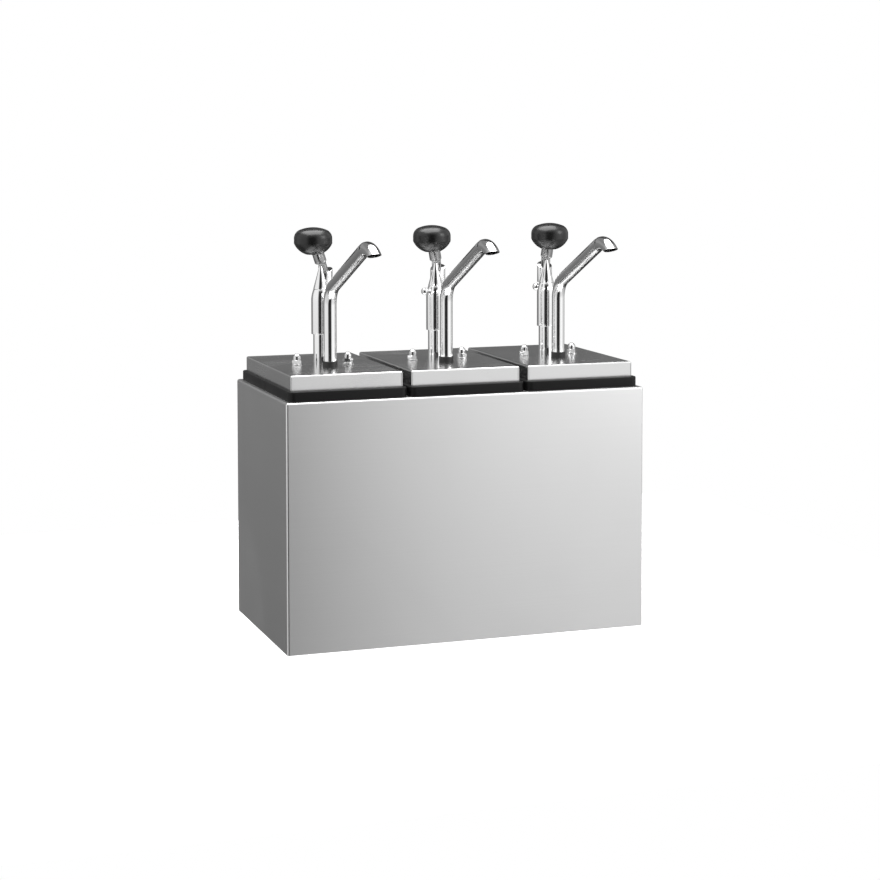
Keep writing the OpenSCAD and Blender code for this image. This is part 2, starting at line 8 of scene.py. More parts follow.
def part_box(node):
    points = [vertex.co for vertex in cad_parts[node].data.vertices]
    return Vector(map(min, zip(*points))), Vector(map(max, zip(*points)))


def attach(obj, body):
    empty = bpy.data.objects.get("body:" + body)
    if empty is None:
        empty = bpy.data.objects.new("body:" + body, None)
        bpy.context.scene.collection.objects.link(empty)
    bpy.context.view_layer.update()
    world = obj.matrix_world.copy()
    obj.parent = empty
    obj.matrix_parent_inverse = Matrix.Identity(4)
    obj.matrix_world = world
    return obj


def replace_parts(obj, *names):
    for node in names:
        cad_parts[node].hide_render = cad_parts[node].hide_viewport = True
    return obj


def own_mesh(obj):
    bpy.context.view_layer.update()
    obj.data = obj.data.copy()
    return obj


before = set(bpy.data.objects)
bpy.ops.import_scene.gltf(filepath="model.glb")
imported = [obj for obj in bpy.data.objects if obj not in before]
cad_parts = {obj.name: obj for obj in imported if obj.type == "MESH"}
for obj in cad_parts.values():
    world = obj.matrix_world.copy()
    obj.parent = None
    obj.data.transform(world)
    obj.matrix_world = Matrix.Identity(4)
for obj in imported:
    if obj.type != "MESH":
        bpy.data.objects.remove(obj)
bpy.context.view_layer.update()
pumps = (1, 2, 3)

# Heights and places that the pieces share with the CAD frame, in metres
stand = {
    "pitch": 0.1312,
    "lidTop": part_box("lid_1")[1][2],
    "pumpBack": 0.0035,
    "riserFront": 0.035,
}

# How finely rounded edges are cut, and what counts as one point or as a sharp edge
meshing = {"arcSteps": 5, "arcShare": 0.49, "cornerSteps": 7, "joinWithin": 1e-7, "onAxis": 1e-6, "sharpFrom": 40}


def pumpX(n):
    return (n - 2) * stand["pitch"]


def pumpFrame(n):
    return Matrix.Translation((pumpX(n), stand["pumpBack"], stand["lidTop"]))


def mm(*values):
    return tuple(v / 1000 for v in values)


def profileMm(points):
    return [mm(*p) for p in points]


def angles(around):
    return [2 * math.pi * k / around for k in range(around)]


def softened(points, closed=False):
    # points are (across, up, fillet); each corner with a fillet becomes a short arc
    count = len(points)
    steps, share = meshing["arcSteps"], meshing["arcShare"]
    out = []
    for i, (a, b, fillet) in enumerate(points):
        if fillet <= 0 or (not closed and i in (0, count - 1)):
            out.append((a, b))
            continue
        here = Vector((a, b))
        toLast = Vector(points[i - 1][:2]) - here
        toNext = Vector(points[(i + 1) % count][:2]) - here
        half = toLast.angle(toNext) / 2
        reach = min(fillet / math.tan(half), toLast.length * share, toNext.length * share)
        radius = reach * math.tan(half)
        toLast.normalize()
        toNext.normalize()
        centre = here + (toLast + toNext).normalized() * (radius / math.sin(half))
        start, end = here + toLast * reach - centre, here + toNext * reach - centre
        sweep = start.angle_signed(end)
        for k in range(steps + 1):
            out.append(tuple(centre + Matrix.Rotation(-sweep * k / steps, 2) @ start))
    return out


def finishedPiece(name, bm, place=None, sharpFrom=meshing["sharpFrom"]):
    bmesh.ops.remove_doubles(bm, verts=bm.verts, dist=meshing["joinWithin"])
    bmesh.ops.recalc_face_normals(bm, faces=bm.faces)
    mesh = bpy.data.meshes.new(name)
    bm.to_mesh(mesh)
    bm.free()
    if place is not None:
        mesh.transform(place)
    mesh.shade_smooth()
    mesh.set_sharp_from_angle(angle=math.radians(sharpFrom))
    piece = bpy.data.objects.new(name, mesh)
    bpy.context.scene.collection.objects.link(piece)
    return piece


def ringPairs(rings, closed=False):
    # Each ring with the next one; closed also pairs the last with the first
    return list(zip(rings, rings[1:] + (rings[:1] if closed else [])))


def walled(bm, rings, closed=False, capped=False):
    for a, b in ringPairs(rings, closed):
        for k in range(len(a)):
            m = (k + 1) % len(a)
            bm.faces.new((a[k], a[m], b[m], b[k]))
    if capped:
        bm.faces.new(rings[-1])
        bm.faces.new(list(reversed(rings[0])))


def turnedInto(bm, profile, around, closed=False):
    # A profile of (radius, height) turned about Z; a point on the axis is a ring of one corner
    rings = []
    for radius, height in profile:
        ring = [(radius * math.cos(a), radius * math.sin(a), height) for a in angles(around)]
        if radius < meshing["onAxis"]:
            ring = [(0, 0, height)]
        rings.append([bm.verts.new(point) for point in ring])
    for low, high in ringPairs(rings, closed):
        for k in range(around):
            m = (k + 1) % around
            corners = [low[k % len(low)], low[m % len(low)], high[m % len(high)], high[k % len(high)]]
            corners = [c for i, c in enumerate(corners) if c not in corners[:i]]
            if len(corners) > 2:
                bm.faces.new(corners)


def turnedPiece(name, profile, place, around, closed=False):
    bm = bmesh.new()
    turnedInto(bm, softened(profile, closed), around, closed)
    return finishedPiece(name, bm, place)


def sweptInto(bm, path, outer, inner, around):
    # A tube wall along path, which holds (point, along, across); radii are lists beside it
    rings = []
    for radii, order in ((outer, range(len(path))), (inner, reversed(range(len(path))))):
        for i in order:
            point, along, across = path[i]
            up = along.cross(across)
            rings.append([bm.verts.new(point + radii[i] * (across * math.cos(a) + up * math.sin(a)))
                          for a in angles(around)])
    walled(bm, rings, closed=True)


def roundedRing(bm, w, d, r, z):
    ring = []
    steps = meshing["cornerSteps"]
    for cx, cy, turn in ((1, 1, 0), (-1, 1, 90), (-1, -1, 180), (1, -1, 270)):
        for k in range(steps + 1):
            a = math.radians(turn + 90 * k / steps)
            x, y = cx * (w / 2 - r) + r * math.cos(a), cy * (d / 2 - r) + r * math.sin(a)
            ring.append(bm.verts.new((x, y, z)))
    return ring


def newGroup(name, kind, inputs, outputs):
    # inputs and outputs give the type of each socket by its label
    tree = bpy.data.node_groups.new(name, kind)
    for side, sockets in (("INPUT", inputs), ("OUTPUT", outputs)):
        for label, socket in sockets.items():
            tree.interface.new_socket(label, in_out=side, socket_type="NodeSocket" + socket)
    return tree, tree.nodes.new("NodeGroupInput"), tree.nodes.new("NodeGroupOutput")


def mathNode(tree, operation, a, b=None, clamp=False):
    node = tree.nodes.new("ShaderNodeMath")
    node.operation = operation
    node.use_clamp = clamp
    for socket, value in zip(node.inputs, (a, b)):
        if value is None:
            continue
        if isinstance(value, (int, float)):
            socket.default_value = value
        else:
            tree.links.new(value, socket)
    return node.outputs[0]


def mapped(tree, value, low, high, toLow=0.0, toHigh=1.0):
    node = tree.nodes.new("ShaderNodeMapRange")
    node.interpolation_type = "SMOOTHSTEP"
    for index, number in ((1, low), (2, high), (3, toLow), (4, toHigh)):
        node.inputs[index].default_value = number
    tree.links.new(value, node.inputs[0])
    return node.outputs[0]


# The sockets of a mix node: two inputs and the result, for numbers and for colours
mixNumbers = (2, 3, 0)
mixColours = (6, 7, 2)

# Shader groups, each built once; the finishes further down set their inputs
sheetLook = {"detail": 3.0, "grainSpan": (0.2, 0.8), "flatAbove": 0.7, "bumpDistance": 0.0002}


def buildSheetGrain():
    # Fine level lines on upright faces and lines along X on flat ones
    s = sheetLook
    inputs = {"Fineness": "Float", "Stretch": "Float", "Depth": "Float"}
    tree, inp, out = newGroup("sheetGrain", "ShaderNodeTree", inputs, {"Grain": "Float", "Normal": "Vector"})
    link = tree.links.new
    coords = tree.nodes.new("ShaderNodeTexCoord")
    values = []
    for alongY, alongZ in (("Stretch", "Fineness"), ("Fineness", "Stretch")):
        scale = tree.nodes.new("ShaderNodeCombineXYZ")
        link(inp.outputs["Stretch"], scale.inputs[0])
        link(inp.outputs[alongY], scale.inputs[1])
        link(inp.outputs[alongZ], scale.inputs[2])
        stretched = tree.nodes.new("ShaderNodeVectorMath")
        stretched.operation = "MULTIPLY"
        link(coords.outputs["Object"], stretched.inputs[0])
        link(scale.outputs[0], stretched.inputs[1])
        noise = tree.nodes.new("ShaderNodeTexNoise")
        noise.inputs["Scale"].default_value = 1.0
        noise.inputs["Detail"].default_value = s["detail"]
        link(stretched.outputs[0], noise.inputs["Vector"])
        values.append(noise.outputs["Fac"])
    facing = tree.nodes.new("ShaderNodeSeparateXYZ")
    link(coords.outputs["Normal"], facing.inputs[0])
    flat = mathNode(tree, "GREATER_THAN", mathNode(tree, "ABSOLUTE", facing.outputs[2]), s["flatAbove"])
    mix = tree.nodes.new("ShaderNodeMix")
    upright, level, result = mixNumbers
    link(flat, mix.inputs[0])
    link(values[0], mix.inputs[upright])
    link(values[1], mix.inputs[level])
    bump = tree.nodes.new("ShaderNodeBump")
    bump.inputs["Distance"].default_value = s["bumpDistance"]
    link(inp.outputs["Depth"], bump.inputs["Strength"])
    link(mix.outputs[result], bump.inputs["Height"])
    link(mix.outputs[result], out.inputs["Grain"])
    link(bump.outputs[0], out.inputs["Normal"])
    return tree


handlingLook = {"detail": 5.0, "roughness": 0.62, "distortion": 0.6, "patch": (0.42, 0.72)}


def buildHandling():
    # Soft cloudy patches left by wiping and fingers
    s = handlingLook
    tree, inp, out = newGroup("handling", "ShaderNodeTree", {"Size": "Float", "Amount": "Float"}, {"Haze": "Float"})
    coords = tree.nodes.new("ShaderNodeTexCoord")
    cloud = tree.nodes.new("ShaderNodeTexNoise")
    cloud.inputs["Detail"].default_value = s["detail"]
    cloud.inputs["Roughness"].default_value = s["roughness"]
    cloud.inputs["Distortion"].default_value = s["distortion"]
    tree.links.new(coords.outputs["Object"], cloud.inputs["Vector"])
    tree.links.new(inp.outputs["Size"], cloud.inputs["Scale"])
    patch = mapped(tree, cloud.outputs["Fac"], *s["patch"])
    tree.links.new(mathNode(tree, "MULTIPLY", patch, inp.outputs["Amount"]), out.inputs["Haze"])
    return tree


edgeLook = {"samples": 4, "radius": 0.0007}


def buildEdgeWearAndSheen():
    # A mask that is 1 along outer edges, from the turn of the surface there. The plastics are made lighter along
    # it: edge wear, and on the rims a painted highlight
    s = edgeLook
    tree, inp, out = newGroup("edgeWearAndSheen", "ShaderNodeTree", {"Contrast": "Float"}, {"Edge": "Float"})
    shape = tree.nodes.new("ShaderNodeNewGeometry")
    bevel = tree.nodes.new("ShaderNodeBevel")
    bevel.samples = s["samples"]
    bevel.inputs["Radius"].default_value = s["radius"]
    dot = tree.nodes.new("ShaderNodeVectorMath")
    dot.operation = "DOT_PRODUCT"
    tree.links.new(bevel.outputs[0], dot.inputs[0])
    tree.links.new(shape.outputs["Normal"], dot.inputs[1])
    gap = mathNode(tree, "SUBTRACT", 1.0, dot.outputs["Value"])
    edge = mathNode(tree, "MULTIPLY", gap, inp.outputs["Contrast"], clamp=True)
    tree.links.new(edge, out.inputs["Edge"])
    return tree


sheetGrain, handling, edgeWearAndSheen = buildSheetGrain(), buildHandling(), buildEdgeWearAndSheen()


def placed(tree, group, **values):
    node = tree.nodes.new("ShaderNodeGroup")
    node.node_tree = group
    for label, value in values.items():
        node.inputs[label].default_value = value
    return node.outputs


def newMaterial(name, sockets):
    material = bpy.data.materials.new(name)
    material.use_nodes = True
    shader = material.node_tree.nodes["Principled BSDF"]
    for label, value in sockets.items():
        shader.inputs[label].default_value = value
    return material, material.node_tree, shader.inputs


def shaded(tree, factor, low, high):
    # A colour that runs from low to high as factor goes from 0 to 1
    ramp = tree.nodes.new("ShaderNodeMix")
    ramp.data_type = "RGBA"
    first, second, result = mixColours
    ramp.inputs[first].default_value = (*low, 1)
    ramp.inputs[second].default_value = (*high, 1)
    tree.links.new(factor, ramp.inputs[0])
    return ramp.outputs[result]


def fineBump(tree, look, detail, distance):
    coords = tree.nodes.new("ShaderNodeTexCoord")
    noise = tree.nodes.new("ShaderNodeTexNoise")
    noise.inputs["Scale"].default_value = look["grain"]
    noise.inputs["Detail"].default_value = detail
    tree.links.new(coords.outputs["Object"], noise.inputs["Vector"])
    bump = tree.nodes.new("ShaderNodeBump")
    bump.inputs["Strength"].default_value = look["depth"]
    bump.inputs["Distance"].default_value = distance
    tree.links.new(noise.outputs["Fac"], bump.inputs["Height"])
    return bump.outputs[0]


def steelSheet(name, look):
    material, tree, shader = newMaterial(name, {"Metallic": 1.0})
    grain = placed(tree, sheetGrain, Fineness=look["fineness"], Stretch=look["stretch"], Depth=look["depth"])
    haze = placed(tree, handling, Size=look["hazeSize"], Amount=look["haze"])["Haze"]
    tree.links.new(shaded(tree, grain["Grain"], look["dark"], look["light"]), shader["Base Color"])
    least, most = look["rough"] - look["roughSpread"], look["rough"] + look["roughSpread"]
    rough = mapped(tree, grain["Grain"], *sheetLook["grainSpan"], least, most)
    tree.links.new(mathNode(tree, "ADD", rough, haze), shader["Roughness"])
    tree.links.new(grain["Normal"], shader["Normal"])
    return material


def polishedSteel(name, look):
    material, tree, shader = newMaterial(name, {"Metallic": 1.0})
    haze = placed(tree, handling, Size=look["hazeSize"], Amount=look["haze"])["Haze"]
    tree.links.new(fineBump(tree, look, detail=2.0, distance=0.0002), shader["Normal"])
    tree.links.new(shaded(tree, haze, look["light"], look["dark"]), shader["Base Color"])
    tree.links.new(mathNode(tree, "ADD", haze, look["rough"]), shader["Roughness"])
    return material


def mouldedPlastic(name, look):
    material, tree, shader = newMaterial(name, look["sockets"])
    haze = placed(tree, handling, Size=look["hazeSize"], Amount=look["haze"])["Haze"]
    edge = placed(tree, edgeWearAndSheen, Contrast=look["wear"])["Edge"]
    tree.links.new(fineBump(tree, look, detail=4.0, distance=0.0003), shader["Normal"])
    # base colour lighter along outer edges: edge wear, and on the rims a painted highlight
    tree.links.new(shaded(tree, edge, look["dark"], look["light"]), shader["Base Color"])
    tree.links.new(mathNode(tree, "ADD", haze, look["rough"]), shader["Roughness"])
    return material


def grey(value):
    return (value, value, value)


# Each finish: what makes it, and its values. A higher hazeSize, fineness or grain is finer
looks = {
    "housingSteel": (steelSheet, {
        "fineness": 1100.0, "stretch": 6.0, "depth": 0.004, "hazeSize": 4.0, "haze": 0.06,
        "dark": grey(0.625), "light": grey(0.655), "rough": 0.3, "roughSpread": 0.02}),
    "lidSteel": (steelSheet, {
        "fineness": 1300.0, "stretch": 9.0, "depth": 0.005, "hazeSize": 14.0, "haze": 0.05,
        "dark": grey(0.62), "light": grey(0.68), "rough": 0.22, "roughSpread": 0.03}),
    "pumpSteel": (steelSheet, {
        "fineness": 1500.0, "stretch": 40.0, "depth": 0.08, "hazeSize": 22.0, "haze": 0.1,
        "dark": grey(0.42), "light": (0.58, 0.58, 0.57), "rough": 0.34, "roughSpread": 0.05}),
    "springSteel": (steelSheet, {
        "fineness": 900.0, "stretch": 300.0, "depth": 0.06, "hazeSize": 60.0, "haze": 0.12,
        "dark": (0.30, 0.30, 0.31), "light": (0.46, 0.46, 0.47), "rough": 0.3, "roughSpread": 0.05}),
    "tubePolish": (polishedSteel, {
        "hazeSize": 40.0, "haze": 0.06, "grain": 240.0, "depth": 0.012,
        "light": grey(0.8), "dark": grey(0.62), "rough": 0.09}),
    "fittingPolish": (polishedSteel, {
        "hazeSize": 60.0, "haze": 0.08, "grain": 300.0, "depth": 0.015,
        "light": grey(0.76), "dark": grey(0.55), "rough": 0.07}),
    # painted shade: the neck's steel is a darker copy of the polished steel, for the shade it stands in under the
    # knob
    "neckSteel": (polishedSteel, {
        "hazeSize": 60.0, "haze": 0.1, "grain": 300.0, "depth": 0.02,
        "light": grey(0.36), "dark": grey(0.24), "rough": 0.16}),
    "nutSteel": (polishedSteel, {
        "hazeSize": 60.0, "haze": 0.08, "grain": 900.0, "depth": 0.03,
        "light": grey(0.62), "dark": grey(0.46), "rough": 0.12}),
    "knobGloss": (mouldedPlastic, {
        "sockets": {"Coat Weight": 0.08, "Coat Roughness": 0.2, "Specular IOR Level": 0.42},
        "hazeSize": 30.0, "haze": 0.1, "wear": 2.0, "grain": 900.0, "depth": 0.04,
        "dark": grey(0.005), "light": grey(0.02), "rough": 0.3}),
    # the rim's lighter edges are a painted highlight along its rounded top edge
    "rimPlastic": (mouldedPlastic, {
        "sockets": {"Specular IOR Level": 0.15},
        "hazeSize": 18.0, "haze": 0.1, "wear": 3.0, "grain": 1500.0, "depth": 0.12,
        "dark": grey(0.006), "light": grey(0.11), "rough": 0.42}),
    "glandRubber": (mouldedPlastic, {
        "sockets": {"Specular IOR Level": 0.4},
        "hazeSize": 40.0, "haze": 0.1, "wear": 2.0, "grain": 1800.0, "depth": 0.1,
        "dark": grey(0.01), "light": grey(0.04), "rough": 0.5}),
    "valvePlastic": (mouldedPlastic, {
        "sockets": {"Specular IOR Level": 0.5},
        "hazeSize": 40.0, "haze": 0.08, "wear": 1.0, "grain": 1400.0, "depth": 0.05,
        "dark": (0.70, 0.70, 0.68), "light": (0.80, 0.80, 0.78), "rough": 0.35}),
}
finishes = {name: build(name, look) for name, (build, look) in looks.items()}
print("finishes ready")


def dress(piece, finish):
    piece.data.materials.clear()
    piece.data.materials.append(finishes[finish])
    return piece


# The finish of each CAD node, by its name without the pump's number
cadFinishes = {
    "housing": "housingSteel", "base_plate": "housingSteel", "cross_rails": "housingSteel",
    "container": "rimPlastic", "lid": "lidSteel", "guide_tube": "tubePolish", "gland_bush": "glandRubber",
    "cap_nuts": "nutSteel", "pump_barrel": "pumpSteel", "valve_body": "pumpSteel", "spout_tube": "tubePolish",
    "spout_nozzle": "tubePolish", "inlet_ball": "valvePlastic", "outlet_ball": "valvePlastic",
    "piston_rod": "pumpSteel", "piston_seal": "glandRubber", "return_spring": "springSteel",
    "sleeve": "tubePolish", "nose": "fittingPolish", "neck": "neckSteel", "knob": "knobGloss",
    "release_pin": "nutSteel",
}
for nodeName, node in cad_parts.items():
    dress(node, cadFinishes[nodeName.rstrip("_123")])
print("frame dressed")

# Degrees by which heads, pins and spouts are turned about their upright axes. From here on, pieces are given in
# millimetres, heights above the lid's top and lengths from the pump's axis
headTurn = {1: 56, 2: 38, 3: 5}
pinTurn = {1: 190, 2: 73, 3: 151}
spoutTurn = {1: 2, 2: 0, 3: 0}


def headFrame(n):
    return pumpFrame(n) @ Matrix.Rotation(math.radians(-headTurn[n]), 4, "Z")


def riserFrame(n):
    return (pumpFrame(n) @ Matrix.Translation((0, -stand["riserFront"], 0))
            @ Matrix.Rotation(math.radians(spoutTurn[n]), 4, "Z"))


guideTube = {"outer": 8.5, "bore": 7.3, "top": 40.8, "plugOuter": 14.97, "plugLow": -7.5, "plugTop": -3.5,
             "rodHole": 4.05, "sides": 72}


def makeGuideTube(n):
    s = guideTube
    profile = [(s["rodHole"], s["plugLow"], 0.2), (s["plugOuter"], s["plugLow"], 0.3),
               (s["plugOuter"], s["plugTop"], 0), (s["outer"], s["plugTop"], 0), (s["outer"], s["top"], 0.35),
               (s["bore"], s["top"], 0.3), (s["bore"], s["plugTop"], 0), (s["rodHole"], s["plugTop"], 0)]
    piece = turnedPiece(f"guideTube_{n}", profileMm(profile), pumpFrame(n), s["sides"], closed=True)
    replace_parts(dress(piece, "tubePolish"), f"guide_tube_{n}")
    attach(piece, f"lid_unit_{n}")


# The lip groove's four heights are counted from the sleeve's foot
sleeve = {"outer": 10.5, "low": 32.0, "shoulder": 68.0, "top": 80.5, "arc": 34.0, "arcSteps": 12, "bore": 8.55,
          "webTop": 72.5, "rodHole": 4.03, "spigotHole": 6.55, "grooveDeep": 0.18,
          "grooveAt": (1.1, 1.25, 1.55, 1.7), "sides": 72}


def makeSleeve(n):
    s = sleeve
    shoulder = []
    for k in range(1, s["arcSteps"] + 1):
        up = (s["top"] - s["shoulder"]) * k / s["arcSteps"]
        across = s["outer"] - s["arc"] + math.sqrt(s["arc"] ** 2 - up ** 2)
        shoulder.append((across, s["shoulder"] + up, 0.3 if k == s["arcSteps"] else 0))
    sunk = s["outer"] - s["grooveDeep"]
    start, floor, floorEnd, end = [s["low"] + at for at in s["grooveAt"]]
    outside = [(s["outer"], s["low"], 0.4), (s["outer"], start, 0.1), (sunk, floor, 0), (sunk, floorEnd, 0),
               (s["outer"], end, 0.1), (s["outer"], s["shoulder"], 0)]
    inside = [(s["spigotHole"], s["top"], 0.2), (s["spigotHole"], s["webTop"], 0), (s["rodHole"], s["webTop"], 0),
              (s["rodHole"], s["shoulder"], 0), (s["bore"], s["shoulder"], 0), (s["bore"], s["low"], 0.3)]
    profile = profileMm(outside + shoulder + inside)
    piece = turnedPiece(f"slidingSleeve_{n}", profile, pumpFrame(n), s["sides"], closed=True)
    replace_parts(dress(piece, "tubePolish"), f"sleeve_{n}")
    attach(piece, f"plunger_{n}")


# tipSpread and tipDrop are shares of the tip's radius
nose = {"foot": 80.7, "tip": 106.2, "footRadius": 8.3, "tipRadius": 1.5, "tipSpread": 1.25, "tipDrop": 0.35,
        "spigot": 6.5, "spigotLow": 72.7, "groove": 4.9, "grooveLow": 73.45, "grooveTop": 76.55,
        "socketRadius": 8.25, "socketBack": 7.0, "sides": 72, "socketSides": 64, "sharpFrom": 32}
# ferruleFoot is a share of the rod's radius; grooveAt is counted from the ferrule's foot
neck = {"lean": 25.0, "footBack": 5.0, "footHeight": 99.0, "rod": 5.2, "rodLow": -1.0, "rodLength": 11.8,
        "flatBack": 1.8, "ferrule": 6.5, "ferruleLength": 14.2, "ferruleFoot": 0.6, "chamfer": 0.7,
        "grooveDeep": 0.2, "grooveAt": (1.9, 2.1, 2.5, 2.7), "gap": 0.001, "sides": 72}


def makeNose(n):
    s = nose
    bm = bmesh.new()
    cone = [(0, s["spigotLow"], 0), (s["spigot"], s["spigotLow"], 0.3), (s["spigot"], s["grooveLow"], 0),
            (s["groove"], s["grooveLow"], 0), (s["groove"], s["grooveTop"], 0), (s["spigot"], s["grooveTop"], 0),
            (s["spigot"], s["foot"], 0), (s["footRadius"], s["foot"], 0.25),
            (s["tipRadius"] * s["tipSpread"], s["tip"] - s["tipRadius"], 0),
            (s["tipRadius"], s["tip"] - s["tipRadius"] * s["tipDrop"], 0.6), (0, s["tip"], 0)]
    turnedInto(bm, softened(profileMm(cone)), s["sides"])
    # the upright socket, its slanted top square to the neck; rings are (inset, depth below the slant, on the slant)
    slope = math.tan(math.radians(neck["lean"]))
    rings = []
    for inset, below, slanted in ((0, 0, False), (0, 0.5, True), (0.15, 0.15, True), (0.5, 0, True)):
        ring = []
        for a in angles(s["socketSides"]):
            radius = s["socketRadius"] - inset
            x, y = radius * math.cos(a), radius * math.sin(a) + s["socketBack"]
            z = neck["footHeight"] - below + (y - neck["footBack"]) * slope if slanted else s["foot"]
            ring.append(bm.verts.new(mm(x, y, z)))
        rings.append(ring)
    walled(bm, rings, capped=True)
    piece = finishedPiece(f"pointedNose_{n}", bm, headFrame(n), s["sharpFrom"])
    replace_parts(dress(piece, "fittingPolish"), f"nose_{n}")
    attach(piece, f"head_{n}")


def makeNeck(n):
    s = neck
    low, top, radius = s["rodLength"], s["rodLength"] + s["ferruleLength"], s["ferrule"]
    rod = [(0, s["rodLow"]), (s["rod"], s["rodLow"]), (s["rod"], low / 2), (s["rod"], low), (0, low)]
    sunk = radius - s["grooveDeep"]
    start, floor, floorEnd, end = [low + at for at in s["grooveAt"]]
    ferrule = [(s["rod"] * s["ferruleFoot"], low, 0), (radius - s["chamfer"], low, 0.25),
               (radius, low + s["chamfer"], 0.3), (radius, start, 0.1), (sunk, floor, 0), (sunk, floorEnd, 0),
               (radius, end, 0.1), (radius, top, 0.4), (0, top, 0)]
    bm = bmesh.new()
    turnedInto(bm, profileMm(rod), s["sides"])
    # the rod's front is milled to an upright flat that clears the nose's tip
    place = (Matrix.Translation(mm(0, s["footBack"], s["footHeight"]))
             @ Matrix.Rotation(math.radians(s["lean"]), 4, "X"))
    for v in bm.verts:
        v.co = place @ v.co
        v.co.y = max(v.co.y, s["flatBack"] / 1000)
        v.co = place.inverted() @ v.co
    turnedInto(bm, [mm(0, low + s["gap"])] + softened(profileMm(ferrule)), s["sides"])
    piece = finishedPiece(f"leaningNeck_{n}", bm, headFrame(n) @ place)
    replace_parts(dress(piece, "neckSteel"), f"neck_{n}")
    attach(piece, f"head_{n}")


# edge and crown are the arcs above, the bowl is the arc below with its centre off the axis, and the rim is the
# ring at the foot
knob = {"radius": 20.6, "up": 12.0, "down": 17.3, "edge": 10.0, "bowl": 21.1, "bowlOff": 1.2, "bowlHigh": 2.9,
        "round": 0.7, "rimDeep": 0.5, "rimIn": 1.3, "rimOut": 1.0, "reach": 12.6, "height": 136.0,
        "bowlSteps": 16, "edgeSteps": 19, "crownSteps": 12, "sides": 96}


def makeKnob(n):
    s = knob
    edgeIn, low = s["radius"] - s["edge"], -s["down"]
    # the crown is a shallow dome that runs smoothly into the round edge
    crown = (edgeIn ** 2 + s["up"] ** 2 - s["edge"] ** 2) / (2 * (s["up"] - s["edge"]))
    foot = s["bowlOff"] + math.sqrt(s["bowl"] ** 2 - (s["down"] + s["bowlHigh"]) ** 2)
    sideLow = s["bowlHigh"] - math.sqrt(s["bowl"] ** 2 - (s["radius"] - s["bowlOff"]) ** 2)
    inside = low + s["rimDeep"]
    points = [(0, inside, 0), (foot - s["rimIn"], inside, 0.2), (foot - s["rimOut"], low, 0.2), (foot, low, 0.4)]
    start, end = [math.asin((z - s["bowlHigh"]) / s["bowl"]) for z in (low, sideLow)]
    for k in range(1, s["bowlSteps"]):
        a = start + (end - start) * k / s["bowlSteps"]
        points.append((s["bowlOff"] + s["bowl"] * math.cos(a), s["bowlHigh"] + s["bowl"] * math.sin(a), 0))
    points.append((s["radius"], sideLow, s["round"]))
    meet = math.acos(edgeIn / (crown - s["edge"]))
    for k in range(s["edgeSteps"] + 1):
        a = meet * k / s["edgeSteps"]
        points.append((edgeIn + s["edge"] * math.cos(a), s["edge"] * math.sin(a), 0))
    for k in range(1, s["crownSteps"] + 1):
        a = meet + (math.pi / 2 - meet) * k / s["crownSteps"]
        points.append((crown * math.cos(a), s["up"] - crown + crown * math.sin(a), 0))
    points[-1] = (0, s["up"], 0)
    place = headFrame(n) @ Matrix.Translation(mm(0, -s["reach"], s["height"]))
    piece = turnedPiece(f"pressKnob_{n}", profileMm(points), place, s["sides"])
    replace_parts(dress(piece, "knobGloss"), f"knob_{n}")
    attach(piece, f"head_{n}")


# The collar's three places are counted from the ball's foot; ballFrom and ballSweep are degrees
pin = {"height": 75.0, "rod": 1.5, "tip": 5.2, "ballOut": 14.8, "ball": 4.05, "collar": 2.3,
       "collarAt": (-0.6, -0.4, 0.5), "ballFrom": -52, "ballSweep": 142, "ballSteps": 12, "sides": 40}


def makePin(n):
    s = pin
    rodEnd, collarStart, collarEnd = [s["ballOut"] - s["ball"] + at for at in s["collarAt"]]
    profile = [(0, s["tip"], 0), (s["rod"], s["tip"], 0.3), (s["rod"], rodEnd, 0), (s["collar"], collarStart, 0.15),
               (s["collar"], collarEnd, 0.1)]
    for k in range(s["ballSteps"]):
        a = math.radians(s["ballFrom"] + s["ballSweep"] * k / s["ballSteps"])
        profile.append((s["ball"] * math.cos(a), s["ballOut"] + s["ball"] * math.sin(a), 0))
    profile.append((0, s["ballOut"] + s["ball"], 0))
    place = (pumpFrame(n) @ Matrix.Translation(mm(0, 0, s["height"]))
             @ Matrix.Rotation(math.radians(-pinTurn[n]), 4, "Z") @ Matrix.Rotation(math.radians(90), 4, "X"))
    piece = turnedPiece(f"ballPin_{n}", profileMm(profile), place, s["sides"])
    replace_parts(dress(piece, "nutSteel"), f"release_pin_{n}")
    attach(piece, f"pin_{n}")


spout = {"outer": 7.0, "bore": 6.0, "bendHeight": 81.5, "bendRadius": 24.0, "bendSteps": 18, "slope": 24.0,
         "pipeEnd": 133.0, "bowSteps": 8, "low": -228.0, "sides": 64}
# Places are lengths along the arm from its bend, slopes are degrees. The arm bows down from bendStart on until it
# points endSlope below level, and the mouth is cut there on a plane that faces mouthSlope below level. The grip is
# the short wide end that slips over the pipe; the sweep runs past the mouth before it is cut
nozzle = {"outer": 7.35, "bore": 6.3, "gripBore": 7.03, "lipOuter": 7.1, "lip": 0.3, "step": 0.05, "start": 128.5,
          "bendStart": 120.8, "bendRadius": 35.0, "endSlope": 34.0, "mouthSlope": 74.0, "mouthOuter": 6.9,
          "past": 12, "steps": 28, "edge": 0.12, "edgeSteps": 2}


def pathPoint(y, z, slope):
    # slope is the heading above level in degrees; 90 is straight up. The spout lies in its frame's Y-Z plane
    a = math.radians(slope)
    return Vector(mm(0, y, z)), Vector((0, -math.cos(a), math.sin(a))), Vector((1, 0, 0))


def riserLine():
    s = spout
    turn, radius = 90 - s["slope"], s["bendRadius"]
    start = s["bendHeight"] - radius * math.tan(math.radians(turn / 2))
    path = [pathPoint(0, s["low"], 90), pathPoint(0, 0, 90)]
    for k in range(s["bendSteps"] + 1):
        part = turn * k / s["bendSteps"]
        a = math.radians(part)
        path.append(pathPoint(-radius * (1 - math.cos(a)), start + radius * math.sin(a), 90 - part))
    return path


